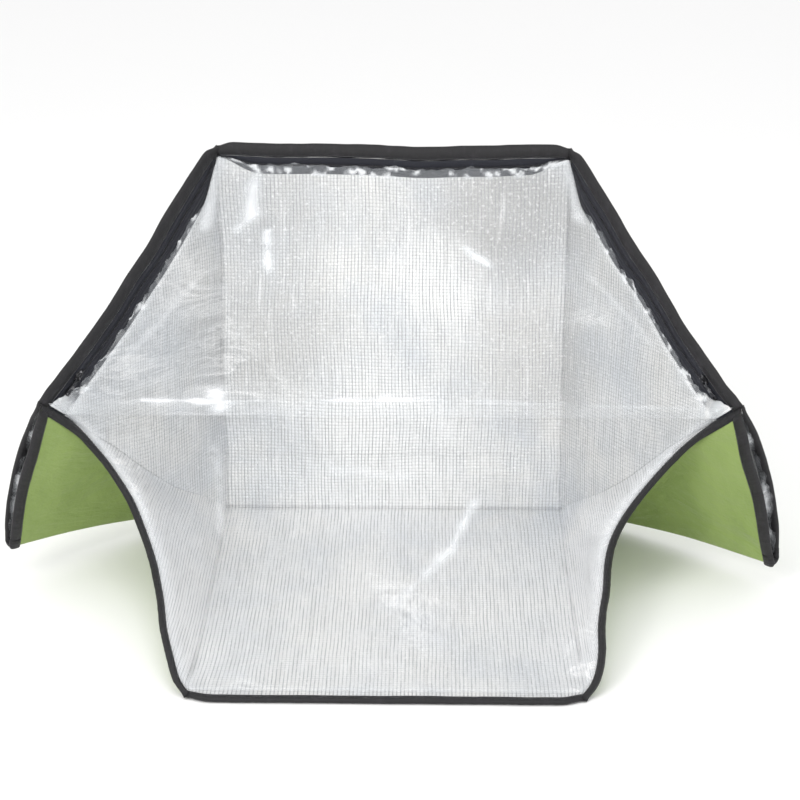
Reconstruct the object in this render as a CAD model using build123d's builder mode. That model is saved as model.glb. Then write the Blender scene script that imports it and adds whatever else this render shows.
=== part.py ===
"""Folding solar cooker bag: an insulated, foil-lined sheet pinched at both sides into an open hood.

Frame: millimetres, +Z up, +X across the bag, -Y towards its open front.
The origin is the middle of the floor's underside.
"""

import os
from math import acos, atan2, cos, radians, sin

from build123d import *

# The sheet: one padded panel, creased across the rear and along both sides
panelWidth = 460.0
floorDepth = 469.0
backHeight = 496.0
backLean = 7.0
tipReach = 328.0
tipRise = 235.0
earDroop = 26.0

# The side walls' front edge: a low lip that sweeps up to the pinch
lipFrontDepth = 385.0
lipFrontRise = 62.0
lipMiddleDepth = 285.0
lipMiddleRise = 104.0
lipRearFromTip = 144.6
lipRearInset = 77.8
lipWaistFromTip = 105.9
lipWaistInset = 29.1
lipNeckFromTip = 52.0
lipNeckInset = 6.5

# The layers of the sheet, from the sunny side outwards
linerThickness = 0.4
foamThickness = 4.0
shellThickness = 0.6

# Bindings over the raw edges
bindingThickness = 0.8
bindingWidth = 12.0
frontBindingWidth = 10.0
lipBindingWidth = 8.0

# The zip that closes the window, and the window's films
zipTapeWidth = 10.0
zipTapeThickness = 0.8
coilDiameter = 2.4
windowBandWidth = 10.0
filmThickness = 0.5
filmFacets = 12

# Zip sliders and their pulls
sliderLength = 14.0
sliderWidth = 9.0
sliderWall = 1.1
sliderTaper = 1.6
sliderParking = 52.0
bridgeLength = 8.0
bridgeRise = 3.6
bridgeWidth = 3.0
bridgeThickness = 1.0
pullLength = 28.0
pullWidth = 6.5
pullNeck = 4.4
pullThickness = 1.2
pullEyeWidth = 3.4
pullEyeLength = 3.6
pullHoleDiameter = 3.0

# Clearances
seamGap = 0.3
cornerGap = 1.2
touchGap = 0.3
bindingGap = 0.1

sheetThickness = linerThickness + foamThickness + shellThickness
halfWidth = panelWidth / 2
halfFold = radians((90.0 + backLean) / 2)

# The pinched tip is one point of the sheet, reached both from the floor and from the back
tipLength = (tipReach**2 + tipRise**2) ** 0.5
tipAngle = atan2(tipReach, tipRise)
tipSpread = acos(cos(tipAngle) / cos(halfFold))
tipRay = Vector(
    sin(tipSpread),
    -cos(tipSpread) * cos(halfFold),
    cos(tipSpread) * sin(halfFold),
)
backUp = Vector(0, sin(radians(backLean)), cos(radians(backLean)))
cornerRear = Vector(halfWidth, 0, sheetThickness)
cornerFront = cornerRear + Vector(0, -floorDepth, 0)
cornerTop = cornerRear + backUp * backHeight
cornerTip = cornerRear + tipRay * tipLength
wingOut = backUp.cross(tipRay).normalized()
wallOut = tipRay.cross(Vector(0, -1, 0)).normalized()

# The ear is the pleat of spare sheet that hangs outside the pinch
wingOnward = wingOut.cross(tipRay).normalized()
earRay = wingOnward * cos(radians(earDroop)) + wingOut * sin(radians(earDroop))
earOut = tipRay.cross(earRay).normalized()
earTip = (tipReach**2 / tipLength, tipReach * tipRise / tipLength)

# The ear starts where its wall side just clears the wall's binding
earFromWall = earRay.dot(wallOut)
earLean = (1 - earFromWall**2) ** 0.5
wallClear = sheetThickness + bindingThickness + touchGap
pleatSetback = (wallClear + sheetThickness * earLean) / earFromWall + touchGap

# Planes on the lining side of each panel, facing outwards
floorPlane = Plane(origin=(0, 0, sheetThickness), x_dir=(1, 0, 0), z_dir=(0, 0, -1))
backPlane = Plane(origin=(0, 0, sheetThickness), x_dir=(-1, 0, 0), z_dir=(0, backUp.Z, -backUp.Y))
wingPlane = Plane(origin=cornerRear, x_dir=backUp, z_dir=wingOut)
wallPlane = Plane(origin=cornerRear, x_dir=(0, -1, 0), z_dir=wallOut)
earPlane = Plane(origin=cornerRear, x_dir=tipRay, z_dir=earOut)


def besidePinch(fromTip, inset):
    """A point of the side wall's edge, by its place along the pinch and its distance from it."""
    along = (tipLength - fromTip) / tipLength
    return (
        tipRise * along + tipReach * inset / tipLength,
        -tipReach * along + tipRise * inset / tipLength,
    )


# Corners of the wing, the wall and the ear, each measured on its own plane
wingCorners = [(0, 0), (backHeight, 0), (tipRise, tipReach)]
wallCorners = [(0, 0), (tipRise, -tipReach), (floorDepth, 0)]
earCorners = [(0, 0), (tipLength, 0), earTip]
lipPoints = [
    (floorDepth, 0),
    (lipFrontDepth, -lipFrontRise),
    (lipMiddleDepth, -lipMiddleRise),
    besidePinch(lipRearFromTip, lipRearInset),
    besidePinch(lipWaistFromTip, lipWaistInset),
    besidePinch(lipNeckFromTip, lipNeckInset),
    (tipRise, -tipReach),
]


def drawnIn(corners, insets):
    """A polygon's corners once each side, from its corner to the next, has moved in by its inset."""
    points = [Vector(*corner) for corner in corners]
    middle = sum(points, Vector(0, 0)) / len(points)
    sides = []
    for start, end, inset in zip(points, points[1:] + points[:1], insets):
        along = (end - start).normalized()
        inward = Vector(-along.Y, along.X)
        if inward.dot(middle - start) < 0:
            inward = inward * -1
        sides.append((start + inward * inset, along))
    moved = []
    for (here, along), (there, across) in zip(sides[-1:] + sides[:-1], sides):
        reach = (there - here).cross(across).Z / along.cross(across).Z
        moved.append(here + along * reach)
    return [(point.X, point.Y) for point in moved]


def polygon(corners):
    """A face with straight sides."""
    with BuildSketch() as face:
        with BuildLine():
            Polyline(*corners, close=True)
        make_face()
    return face.sketch


def wallFace(growth):
    """A side wall: straight along the floor and the pinch, with its free edge along the lip."""
    rear, tip, front = drawnIn(wallCorners, [seamGap, 0, seamGap])
    with BuildSketch() as face:
        with BuildLine():
            Polyline(front, rear, tip)
            lip = Spline(tip, *lipPoints[-2:0:-1], front)
        make_face()
        if growth:
            trace(lip, line_width=2 * growth)
            add(polygon(drawnIn(wallCorners, [cornerGap, -2 * growth, cornerGap])), mode=Mode.INTERSECT)
    return face.sketch


def wingFace(growth, gap=seamGap):
    """A side wing: straight along the back and the pinch, with its free edge from top to tip."""
    return polygon(drawnIn(wingCorners, [gap, -growth, gap]))


def backFace(growth, gap=seamGap):
    """The back: square at the fold, with its free edge along the top."""
    right = halfWidth - gap
    top = backHeight + growth
    return polygon([(-right, 0), (right, 0), (right, top), (-right, top)])


def floorFace(growth, gap=seamGap):
    """The floor: square, with its free edge along the front."""
    right = halfWidth - gap
    front = floorDepth + growth
    return polygon([(-right, gap), (right, gap), (right, front), (-right, front)])


def earFace(foldInset, growth=0.0):
    """An ear: set back from the pinch, folded along its lower side, with its free edge from tip to tip."""
    return polygon(drawnIn(earCorners, [pleatSetback, -growth, foldInset]))


def slab(plane, face, start, thickness):
    """A flat layer on a plane, from a start towards the outside."""
    with BuildPart() as layer:
        with BuildSketch(plane.offset(start)):
            add(face)
        extrude(amount=thickness)
    return layer.part


def boundEdge(plane, edge, width, face, grown, inner=bindingThickness, outer=bindingThickness):
    """A folded binding: a strip along an edge, over both faces of the panel and round its end."""
    with BuildPart() as binding:
        with BuildSketch(plane.offset(-inner)):
            trace(edge, line_width=2 * width)
            add(grown, mode=Mode.INTERSECT)
        extrude(amount=inner + sheetThickness + outer)
        with BuildSketch(plane):
            add(face)
        extrude(amount=sheetThickness, mode=Mode.SUBTRACT)
    return binding.part


def mirrored(right):
    """The left-hand copy of a right-hand piece."""
    return mirror(right, about=Plane.YZ)


pieces = {}


def keep(name, part):
    """Name a finished piece."""
    part.label = name
    pieces[name] = part


def keepPair(name, part):
    """Name a right-hand piece and its left-hand copy."""
    keep("right_" + name, part)
    keep("left_" + name, mirrored(part))


layers = [
    ("liner", 0.0, linerThickness),
    ("foam", linerThickness, foamThickness),
    ("shell", linerThickness + foamThickness, shellThickness),
]

# The four panels of the sheet, each a stack of lining, padding and cloth
for layerName, start, thickness in layers:
    keep("floor_" + layerName, slab(floorPlane, floorFace(0), start, thickness))
    keep("back_" + layerName, slab(backPlane, backFace(0), start, thickness))
    keepPair("wall_" + layerName, slab(wallPlane, wallFace(0), start, thickness))
    keepPair("wing_" + layerName, slab(wingPlane, wingFace(0), start, thickness))

# Bindings on the free edges of the panels
frontEdge = Line((-halfWidth, floorDepth), (halfWidth, floorDepth))
keep(
    "front_binding",
    boundEdge(
        floorPlane,
        frontEdge,
        frontBindingWidth,
        floorFace(0),
        floorFace(bindingThickness, cornerGap),
        outer=0.0,
    ),
)
topEdge = Line((-halfWidth, backHeight), (halfWidth, backHeight))
keep(
    "top_binding",
    boundEdge(backPlane, topEdge, bindingWidth, backFace(0), backFace(bindingThickness, cornerGap)),
)
wingEdge = Line((backHeight, 0), (tipRise, tipReach))
keepPair(
    "wing_binding",
    boundEdge(wingPlane, wingEdge, bindingWidth, wingFace(0), wingFace(bindingThickness, cornerGap)),
)
lipEdge = Spline(*lipPoints)
keepPair(
    "wall_binding",
    boundEdge(
        wallPlane, lipEdge, lipBindingWidth, wallFace(bindingGap), wallFace(bindingThickness)
    ),
)

# The ears: cloth outside, padding within it and the lining face to face at the heart
earLining = slab(earPlane, earFace(shellThickness + foamThickness), -linerThickness, 2 * linerThickness)
keepPair("ear_lining", earLining)
with BuildPart() as earFoam:
    with BuildSketch(earPlane.offset(shellThickness - sheetThickness)):
        add(earFace(shellThickness))
    extrude(amount=2 * (sheetThickness - shellThickness))
    add(earLining, mode=Mode.SUBTRACT)
keepPair("ear_foam", earFoam.part)
with BuildPart() as earShell:
    with BuildSketch(earPlane.offset(-sheetThickness)):
        add(earFace(0))
    extrude(amount=2 * sheetThickness)
    with BuildSketch(earPlane.offset(shellThickness - sheetThickness)):
        add(earFace(shellThickness))
    extrude(amount=2 * (sheetThickness - shellThickness), mode=Mode.SUBTRACT)
keepPair("ear_shell", earShell.part)

# One binding for each half of the pleat, with the lining's edges free between them
earEdge = Line((tipLength, 0), earTip)
for halfName, start in [("rear", touchGap), ("front", -sheetThickness - bindingThickness)]:
    with BuildPart() as earBinding:
        with BuildSketch(earPlane.offset(start)):
            trace(earEdge, line_width=2 * bindingWidth)
            add(earFace(0, bindingThickness), mode=Mode.INTERSECT)
        extrude(amount=sheetThickness + bindingThickness - touchGap)
        with BuildSketch(earPlane.offset(-sheetThickness)):
            add(earFace(0))
        extrude(amount=2 * sheetThickness, mode=Mode.SUBTRACT)
    keepPair("ear_" + halfName + "_binding", earBinding.part)

# The zip lies on the lining, beside the binding: a fixed tape, then the coil
edgeLength = (Vector(*wingCorners[1]) - Vector(*wingCorners[2])).length
tapeStart = bindingWidth + touchGap
tapeEnd = tapeStart + zipTapeWidth
coilPlace = tapeEnd - coilDiameter / 2
bandStart = tapeEnd + touchGap
bandEnd = bandStart + windowBandWidth
coilDrop = zipTapeThickness + coilDiameter / 2


def wingStrip(near, far):
    """A strip of the wing that runs along its free edge."""
    outer = drawnIn(wingCorners, [cornerGap, near, cornerGap])
    inner = drawnIn(wingCorners, [cornerGap, far, cornerGap])
    return polygon([outer[1], outer[2], inner[2], inner[1]])


def topStrip(near, far):
    """A strip of the back that runs along its top."""
    right = halfWidth - cornerGap
    return polygon(
        [
            (-right, backHeight - far),
            (right, backHeight - far),
            (right, backHeight - near),
            (-right, backHeight - near),
        ]
    )


def coil(start, end):
    """A closed zip coil: a rod along a line, with its tape side flattened on the tape."""
    along = (end - start).normalized()
    with BuildPart() as rod:
        with BuildSketch(Plane(origin=start, z_dir=along)):
            Circle(coilDiameter / 2)
        extrude(amount=(end - start).length)
    return rod.part


keepPair("zip_tape", slab(wingPlane, wingStrip(tapeStart, tapeEnd), -zipTapeThickness, zipTapeThickness))
keep("top_zip_tape", slab(backPlane, topStrip(tapeStart, tapeEnd), -zipTapeThickness, zipTapeThickness))

coilLine = drawnIn(wingCorners, [coilDiameter, coilPlace, coilDiameter])
coilPlane = wingPlane.offset(-coilDrop)
coilTop = coilPlane.from_local_coords(Vector(*coilLine[1]))
coilTip = coilPlane.from_local_coords(Vector(*coilLine[2]))
keepPair("zip_coil", coil(coilTip, coilTop))
topCoilPlane = backPlane.offset(-coilDrop)
topCoilReach = halfWidth - 2 * coilDiameter
keep(
    "top_zip_coil",
    coil(
        topCoilPlane.from_local_coords(Vector(-topCoilReach, backHeight - coilPlace)),
        topCoilPlane.from_local_coords(Vector(topCoilReach, backHeight - coilPlace)),
    ),
)

# The window: a band on the other side of the zip, and a clear film down to the tips
bandLow = zipTapeThickness + touchGap
bandPlane = wingPlane.offset(-bandLow - zipTapeThickness)
bandInner = drawnIn(wingCorners, [cornerGap, bandEnd, cornerGap])
filmTop = bandPlane.from_local_coords(Vector(*bandInner[1]))
filmTip = bandPlane.from_local_coords(Vector(*bandInner[2]))
keepPair("window_band", slab(wingPlane, wingStrip(bandStart, bandEnd), -bandLow, -zipTapeThickness))
keep("top_window_band", slab(backPlane, topStrip(bandStart, bandEnd), -bandLow, -zipTapeThickness))
filmSlope = (filmTop - filmTip).normalized()
filmPlane = Plane(
    origin=(0, filmTip.Y, filmTip.Z),
    x_dir=(1, 0, 0),
    z_dir=Vector(1, 0, 0).cross(Vector(0, filmSlope.Y, filmSlope.Z)).normalized(),
)
filmTopLocal = filmPlane.to_local_coords(filmTop)
filmTipLocal = filmPlane.to_local_coords(filmTip)
filmCorners = [
    (-filmTipLocal.X, filmTipLocal.Y),
    (filmTipLocal.X, filmTipLocal.Y),
    (filmTopLocal.X, filmTopLocal.Y),
    (-filmTopLocal.X, filmTopLocal.Y),
]
keep(
    "window_upper",
    slab(filmPlane, polygon(drawnIn(filmCorners, [touchGap, touchGap, 0, touchGap])), 0, filmThickness),
)

# The lower film follows the side walls' lip, from the tips down to the front edge
wallRise = wallPlane.y_dir.Z * -1
filmScale = 1 - lipBindingWidth / 2 / lipMiddleDepth
lipProfile = [(-depth * filmScale, sheetThickness - rise * wallRise * filmScale) for depth, rise in lipPoints]
filmClear = bindingThickness + touchGap
lipCurve = Spline(*lipProfile)
lipFacets = Polyline(*[lipCurve @ (step / filmFacets) for step in range(filmFacets + 1)])
with BuildPart() as windowLower:
    with BuildSketch(Plane.YZ):
        trace(lipFacets, line_width=filmThickness)
    extrude(amount=cornerTip.X)
    split(bisect_by=wallPlane.offset(-filmClear), keep=Keep.BOTTOM)
    split(bisect_by=floorPlane.offset(-filmClear), keep=Keep.BOTTOM)
    split(bisect_by=Plane.XY.offset(filmTip.Z - touchGap), keep=Keep.BOTTOM)
    mirror(about=Plane.YZ)
keep("window_lower", windowLower.part)

# Sliders, parked near the tips: a saddle over the coil, with a bridge that holds the pull
sliderPlane = Plane(
    origin=coilTip + (coilTop - coilTip).normalized() * sliderParking,
    x_dir=coilTop - coilTip,
    z_dir=wingOut * -1,
)
saddleFoot = touchGap + bandLow + zipTapeThickness - coilDrop
channelTop = coilDiameter / 2 + touchGap
saddleTop = channelTop + sliderWall
bridgeTop = saddleTop + bridgeRise
with BuildPart() as slider:
    with BuildSketch(sliderPlane.offset(saddleFoot)):
        with BuildLine():
            nose = sliderWidth / 2 - sliderTaper
            Polyline(
                (-sliderLength / 2, -nose),
                (0, -sliderWidth / 2),
                (sliderLength / 2, -nose),
                (sliderLength / 2, nose),
                (0, sliderWidth / 2),
                (-sliderLength / 2, nose),
                close=True,
            )
        make_face()
    extrude(amount=saddleTop - saddleFoot)
    fillet(slider.edges().filter_by(Axis(sliderPlane.origin, sliderPlane.z_dir)), radius=sliderTaper / 2)
    with BuildSketch(sliderPlane.offset(saddleFoot)):
        Rectangle(2 * sliderLength, 2 * channelTop)
    extrude(amount=channelTop - saddleFoot, mode=Mode.SUBTRACT)
    bridgePlane = Plane(
        origin=sliderPlane.origin + sliderPlane.z_dir * saddleTop,
        x_dir=sliderPlane.x_dir,
        z_dir=sliderPlane.y_dir * -1,
    )
    with BuildSketch(bridgePlane):
        with Locations((0, bridgeRise / 2)):
            RectangleRounded(bridgeLength, bridgeRise, bridgeThickness)
        with Locations((0, bridgeRise / 4)):
            Rectangle(bridgeLength, bridgeRise / 2)
        with Locations((0, (bridgeRise - bridgeThickness) / 2)):
            Rectangle(
                bridgeLength - 2 * bridgeThickness,
                bridgeRise - bridgeThickness,
                mode=Mode.SUBTRACT,
            )
    extrude(amount=bridgeWidth / 2, both=True)
keepPair("slider", slider.part)

# The pull: its end bar lies in the bridge, and its eye straddles the bridge's leg
pullBar = pullThickness
pullBack = -bridgeLength / 2 + bridgeThickness + touchGap
pullAxis = pullBack + pullBar / 2
with BuildPart() as pull:
    with BuildSketch(sliderPlane.offset(saddleTop + touchGap)) as tab:
        with BuildLine():
            endPlace = pullAxis - pullLength
            Polyline(
                (pullBack + pullBar, -pullWidth / 2),
                (pullBack - pullEyeLength, -pullWidth / 2),
                (pullBack - pullEyeLength - pullBar, -pullNeck / 2),
                (endPlace, -pullWidth / 2),
                (endPlace, pullWidth / 2),
                (pullBack - pullEyeLength - pullBar, pullNeck / 2),
                (pullBack - pullEyeLength, pullWidth / 2),
                (pullBack + pullBar, pullWidth / 2),
                close=True,
            )
        make_face()
        fillet(tab.vertices().group_by(Axis.X)[0], radius=pullWidth / 3)
        with Locations((pullBack - pullEyeLength / 2, 0)):
            Rectangle(pullEyeLength, pullEyeWidth, mode=Mode.SUBTRACT)
        with Locations((endPlace + pullHoleDiameter, 0)):
            Circle(pullHoleDiameter / 2, mode=Mode.SUBTRACT)
    extrude(amount=pullThickness)
keepPair("slider_pull", pull.part)

os.makedirs("parts", exist_ok=True)
for name, part in pieces.items():
    export_step(part, f"parts/{name}.step")
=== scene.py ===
from functools import lru_cache, partial
from math import acos, atan2, cos, exp, hypot, pi, radians, sin

import bmesh
import bpy
import numpy as np
from mathutils import Matrix, Vector, noise


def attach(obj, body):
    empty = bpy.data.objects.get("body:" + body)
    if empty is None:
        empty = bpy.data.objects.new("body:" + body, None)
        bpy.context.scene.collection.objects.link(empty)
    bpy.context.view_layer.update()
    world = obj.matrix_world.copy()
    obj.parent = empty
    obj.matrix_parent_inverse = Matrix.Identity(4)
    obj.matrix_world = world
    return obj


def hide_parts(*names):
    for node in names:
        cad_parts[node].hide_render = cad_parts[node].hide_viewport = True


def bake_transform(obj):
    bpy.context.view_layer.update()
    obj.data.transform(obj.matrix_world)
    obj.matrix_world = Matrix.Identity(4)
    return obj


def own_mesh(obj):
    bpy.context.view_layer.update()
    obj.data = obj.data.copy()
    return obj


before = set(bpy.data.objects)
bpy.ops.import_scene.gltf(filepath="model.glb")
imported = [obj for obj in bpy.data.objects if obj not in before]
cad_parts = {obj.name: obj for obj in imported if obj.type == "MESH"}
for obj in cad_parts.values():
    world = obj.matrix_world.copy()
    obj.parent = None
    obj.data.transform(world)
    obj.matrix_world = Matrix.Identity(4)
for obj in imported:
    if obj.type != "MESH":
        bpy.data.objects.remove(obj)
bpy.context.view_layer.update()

# The bag is one padded sheet: its sizes come first, and everything is worked out from them
sheet = dict(
    halfWidth=0.23, depth=0.469, height=0.496, lean=7.0, reach=0.328, rise=0.235, droop=26.0,
    thickness=0.005, mitre=0.014,
)
lip = dict(
    front=(0.385, 0.062), middle=(0.285, 0.104),
    rearFromTip=0.1446, rearInset=0.0778, waistFromTip=0.1059, waistInset=0.0291,
    neckFromTip=0.052, neckInset=0.0065,
)

halfFold = radians((90 + sheet["lean"]) / 2)
tipLength = hypot(sheet["reach"], sheet["rise"])
tipSpread = acos(cos(atan2(sheet["reach"], sheet["rise"])) / cos(halfFold))
rear = Vector((sheet["halfWidth"], 0, sheet["thickness"]))
tipRay = Vector((sin(tipSpread), -cos(tipSpread) * cos(halfFold), cos(tipSpread) * sin(halfFold)))
backUp = Vector((0, sin(radians(sheet["lean"])), cos(radians(sheet["lean"]))))
acrossBag = Vector((1, 0, 0))
forward = Vector((0, -1, 0))
floorOut = Vector((0, 0, -1))
backOut = Vector((0, backUp.z, -backUp.y))
wingOut = backUp.cross(tipRay).normalized()
wallOut = tipRay.cross(forward).normalized()
wingSide = (tipRay - backUp * tipRay.dot(backUp)).normalized()
wallSide = (tipRay - forward * tipRay.dot(forward)).normalized()
wingOnward = wingOut.cross(tipRay).normalized()
droop = radians(sheet["droop"])
earRay = wingOnward * cos(droop) + wingOut * sin(droop)
earOut = tipRay.cross(earRay).normalized()
earTip = (sheet["reach"] ** 2 / tipLength, sheet["reach"] * sheet["rise"] / tipLength)
topCorner = rear + backUp * sheet["height"]
tipCorner = rear + tipRay * tipLength
frontCorner = rear + forward * sheet["depth"]
sliderRun = 0.325
sliderStart = Vector((0.385334, -0.184979, 0.285792))
sliderSpots = (sliderStart, sliderStart + (topCorner - tipCorner).normalized() * sliderRun)


def clamp(value, low=0.0, high=1.0):
    return max(low, min(high, value))


def smooth(value, low, high):
    t = clamp((value - low) / (high - low))
    return t * t * (3 - 2 * t)


def between(start, end, t):
    return start + (end - start) * t


def mirrored(point, side):
    return Vector((point.x * side, point.y, point.z))


# Cloth is never flat: one smooth shift of space softens every piece, so that neighbours still meet.
# Pairs of values are for the left and the right side, and the sliders' ends stay calm
softness = dict(
    topRise=0.0050, topDip=0.0045, topPull=0.0062, topReach=0.027, frontPull=0.0110, frontReach=0.038,
    frontSpread=(0.0065, 0.0030), frontSpreadReach=0.07,
    edgeSag=(
        (0.0, 0.0, 0.0), (0.1, 0.0025, 0.005), (0.3, 0.0055, 0.0070), (0.55, 0.0, 0.0020),
        (0.8, -0.0055, -0.0005), (0.95, -0.0065, -0.002), (1.0, -0.004, -0.001),
    ),
    edgeReach=0.10, pinchSag=(0.014, 0.010), pinchReach=0.06,
    lipBows=((0.026, (0.300, -0.262, 0.115), 0.088), (0.0125, (0.270, -0.375, 0.058), 0.062)),
    earLift=(0.008, -0.016), earBow=(-0.010, -0.011), earSwing=(0.005, 0.012), earRoot=0.03,
    bulge=0.0055, bulgeScale=5.0, ripple=0.0016, rippleScale=16.0, sliderClear=(0.03, 0.10),
    offsets=((9.3, 1.5, 7.9), (2.6, 8.1, 4.4), (5.7, 3.2, 0.8)),
    topPullWay=(-0.52, -0.55, -0.65), frontPullWay=(-0.62, 0.76, 0.2), lowest=0.0001,
)
freeEdge = topCorner - tipCorner
edgeInward = wingOut.cross(freeEdge).normalized()
if edgeInward.dot(rear - tipCorner) < 0:
    edgeInward = -edgeInward


def sagAt(along, hand):
    table = softness["edgeSag"]
    for here, there in zip(table, table[1:]):
        if along <= there[0]:
            return between(here[1 + hand], there[1 + hand], smooth(along, here[0], there[0]))
    return table[-1][1 + hand]


def wander(spot):
    # A smooth shift that is the same on each run, which Blender's own noise_vector isn't
    return Vector([noise.noise(spot + Vector(offset)) for offset in softness["offsets"]])


def soften(point):
    s = softness
    side = 1 if point.x >= 0 else -1
    hand = 0 if side < 0 else 1
    p = mirrored(point, side)
    fromRear = p - rear
    across = clamp(p.x / sheet["halfWidth"])
    high = smooth(p.z, 0.36, 0.5)
    move = Vector((0, 0, (s["topRise"] - s["topDip"] * (1 - across * across)) * high))
    toTop = max(0.0, 1 - (p - topCorner).length / s["topReach"])
    move += Vector(s["topPullWay"]) * (s["topPull"] * toTop * toTop)
    toFront = max(0.0, 1 - (p - frontCorner).length / s["frontReach"])
    move += Vector(s["frontPullWay"]) * (s["frontPull"] * toFront * toFront)
    spread = ((p - frontCorner).length / s["frontSpreadReach"]) ** 2
    move.x += s["frontSpread"][hand] * exp(-spread)
    along = clamp((p - tipCorner).dot(freeEdge) / freeEdge.length_squared)
    away = (p - tipCorner - freeEdge * along).length / s["edgeReach"]
    move += edgeInward * (sagAt(along, hand) * exp(-away * away))
    if hand:
        for amount, spot, reach in s["lipBows"]:
            bow = (p - Vector(spot)).length / reach
            move.x -= amount * exp(-bow * bow) * smooth(p.z, 0.006, 0.055) * smooth(-p.y, 0.0, 0.10)
    onPinch = clamp(fromRear.dot(tipRay) / tipLength)
    offPinch = (fromRear - tipRay * (onPinch * tipLength)).length / s["pinchReach"]
    droopShape = sin(pi * clamp(onPinch / 0.72)) ** 2 * exp(-offPinch * offPinch)
    move.z -= s["pinchSag"][hand] * droopShape * smooth(p.z, 0.006, 0.05)
    earDepth = clamp(fromRear.dot(earRay) / earTip[1])
    pastWall = smooth(fromRear.dot(wallOut), 0.0, s["earRoot"])
    outside = pastWall * earDepth
    move.z += s["earLift"][hand] * outside
    move -= earOut * (s["earBow"][hand] * sin(pi * earDepth) * pastWall)
    move += earOut * (s["earSwing"][hand] * outside)
    nearest = min((p - spot).length for spot in sliderSpots)
    calm = smooth(nearest, *s["sliderClear"]) * smooth(p.z, 0.008, 0.09)
    if calm > 0:
        broad = wander(point * s["bulgeScale"] + Vector((3.1, 7.7, 1.9)))
        fine = wander(point * s["rippleScale"] + Vector((8.3, 2.2, 5.4)))
        move += mirrored(broad * s["bulge"] + fine * s["ripple"], side) * calm
    moved = point + mirrored(move, side)
    moved.z = max(moved.z, s["lowest"])
    return moved


def splineThrough(points):
    # A natural cubic through the points, spaced by the distance between them
    knots = [0.0]
    for here, there in zip(points, points[1:]):
        knots.append(knots[-1] + hypot(there[0] - here[0], there[1] - here[1]))
    count = len(points)
    table = np.zeros((count, count))
    table[0, 0] = table[-1, -1] = 1
    curves = []
    for axis in range(2):
        wanted = np.zeros(count)
        for i in range(1, count - 1):
            before = knots[i] - knots[i - 1]
            after = knots[i + 1] - knots[i]
            table[i, i - 1:i + 2] = before, 2 * (before + after), after
            slopeAfter = (points[i + 1][axis] - points[i][axis]) / after
            slopeBefore = (points[i][axis] - points[i - 1][axis]) / before
            wanted[i] = 6 * (slopeAfter - slopeBefore)
        curves.append(np.linalg.solve(table, wanted))

    def at(t):
        place = clamp(t) * knots[-1]
        i = max(j for j in range(count - 1) if knots[j] <= place + 1e-12)
        gap = knots[i + 1] - knots[i]
        left = (knots[i + 1] - place) / gap
        right = (place - knots[i]) / gap
        found = []
        for axis in range(2):
            bend = curves[axis]
            value = left * points[i][axis] + right * points[i + 1][axis]
            value += ((left ** 3 - left) * bend[i] + (right ** 3 - right) * bend[i + 1]) * gap * gap / 6
            found.append(value)
        return Vector(found)

    return at


def besidePinch(fromTip, inset):
    along = (tipLength - fromTip) / tipLength
    return (
        sheet["rise"] * along + sheet["reach"] * inset / tipLength,
        sheet["reach"] * along - sheet["rise"] * inset / tipLength,
    )


lipAt = splineThrough([
    (sheet["depth"], 0), lip["front"], lip["middle"],
    besidePinch(lip["rearFromTip"], lip["rearInset"]),
    besidePinch(lip["waistFromTip"], lip["waistInset"]),
    besidePinch(lip["neckFromTip"], lip["neckInset"]),
    (sheet["rise"], sheet["reach"]),
])


# Each panel: where it starts, its two directions, its outside, and the creases it shares
def crease(out, start, direction, otherOut):
    mitre = (out + otherOut) / (1 + out.dot(otherOut)) - out
    return dict(start=Vector(start), direction=Vector(direction).normalized(), mitre=mitre)


flipX = Matrix.Diagonal((-1, 1, 1))
middle = Vector((0, 0, sheet["thickness"]))
width = sheet["halfWidth"]
# Wing and wall share the pinch, which lies alike on both flat patterns
pinchFlat = Vector((sheet["rise"], sheet["reach"]))
panels = dict(
    floor=dict(
        start=middle, a=acrossBag, b=forward, out=floorOut, creases=[
            crease(floorOut, (0, 0), (1, 0), backOut),
            crease(floorOut, (width, 0), (0, 1), wallOut),
            crease(floorOut, (-width, 0), (0, 1), flipX @ wallOut),
        ],
    ),
    back=dict(
        start=middle, a=acrossBag, b=backUp, out=backOut, creases=[
            crease(backOut, (0, 0), (1, 0), floorOut),
            crease(backOut, (width, 0), (0, 1), wingOut),
            crease(backOut, (-width, 0), (0, 1), flipX @ wingOut),
        ],
    ),
    wing=dict(
        start=rear, a=backUp, b=wingSide, out=wingOut, creases=[
            crease(wingOut, (0, 0), (1, 0), backOut),
            crease(wingOut, (0, 0), pinchFlat, earOut),
        ],
    ),
    wall=dict(
        start=rear, a=forward, b=wallSide, out=wallOut, creases=[
            crease(wallOut, (0, 0), (1, 0), floorOut),
            crease(wallOut, (0, 0), pinchFlat, -earOut),
        ],
    ),
)
wrinkles = dict(
    floor=(0.0010, 9.0), back=(0.0016, 8.0), wing=(0.0020, 8.0), wall=(0.0014, 9.0), still=0.035,
)


def fromCrease(fold, flat):
    offset = flat - fold["start"]
    return abs(offset.x * fold["direction"].y - offset.y * fold["direction"].x)


def place(panel, a, b, t=0.0, side=1):
    # A point of a panel: two distances on the flat cloth, and a depth towards the outside
    info = panels[panel]
    flat = Vector((a, b))
    push = info["out"] * t
    still = 1.0
    for fold in info["creases"]:
        away = fromCrease(fold, flat)
        push = push + fold["mitre"] * (t * max(0.0, 1 - away / sheet["mitre"]))
        still *= smooth(away, 0.0, wrinkles["still"])
    height, scale = wrinkles[panel]
    spot = Vector((a * scale, b * scale, side * 3.7 + len(panel)))
    wave = noise.noise(spot) + 0.45 * noise.noise(spot * 2.6 + Vector((5, 5, 5)))
    depth = height * still * wave
    if panel == "floor":
        depth = min(0.0, -abs(depth)) * max(0.0, 1 - t / sheet["thickness"])
    point = info["start"] + info["a"] * a + info["b"] * b + push + info["out"] * depth
    return soften(mirrored(point, side))


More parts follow.
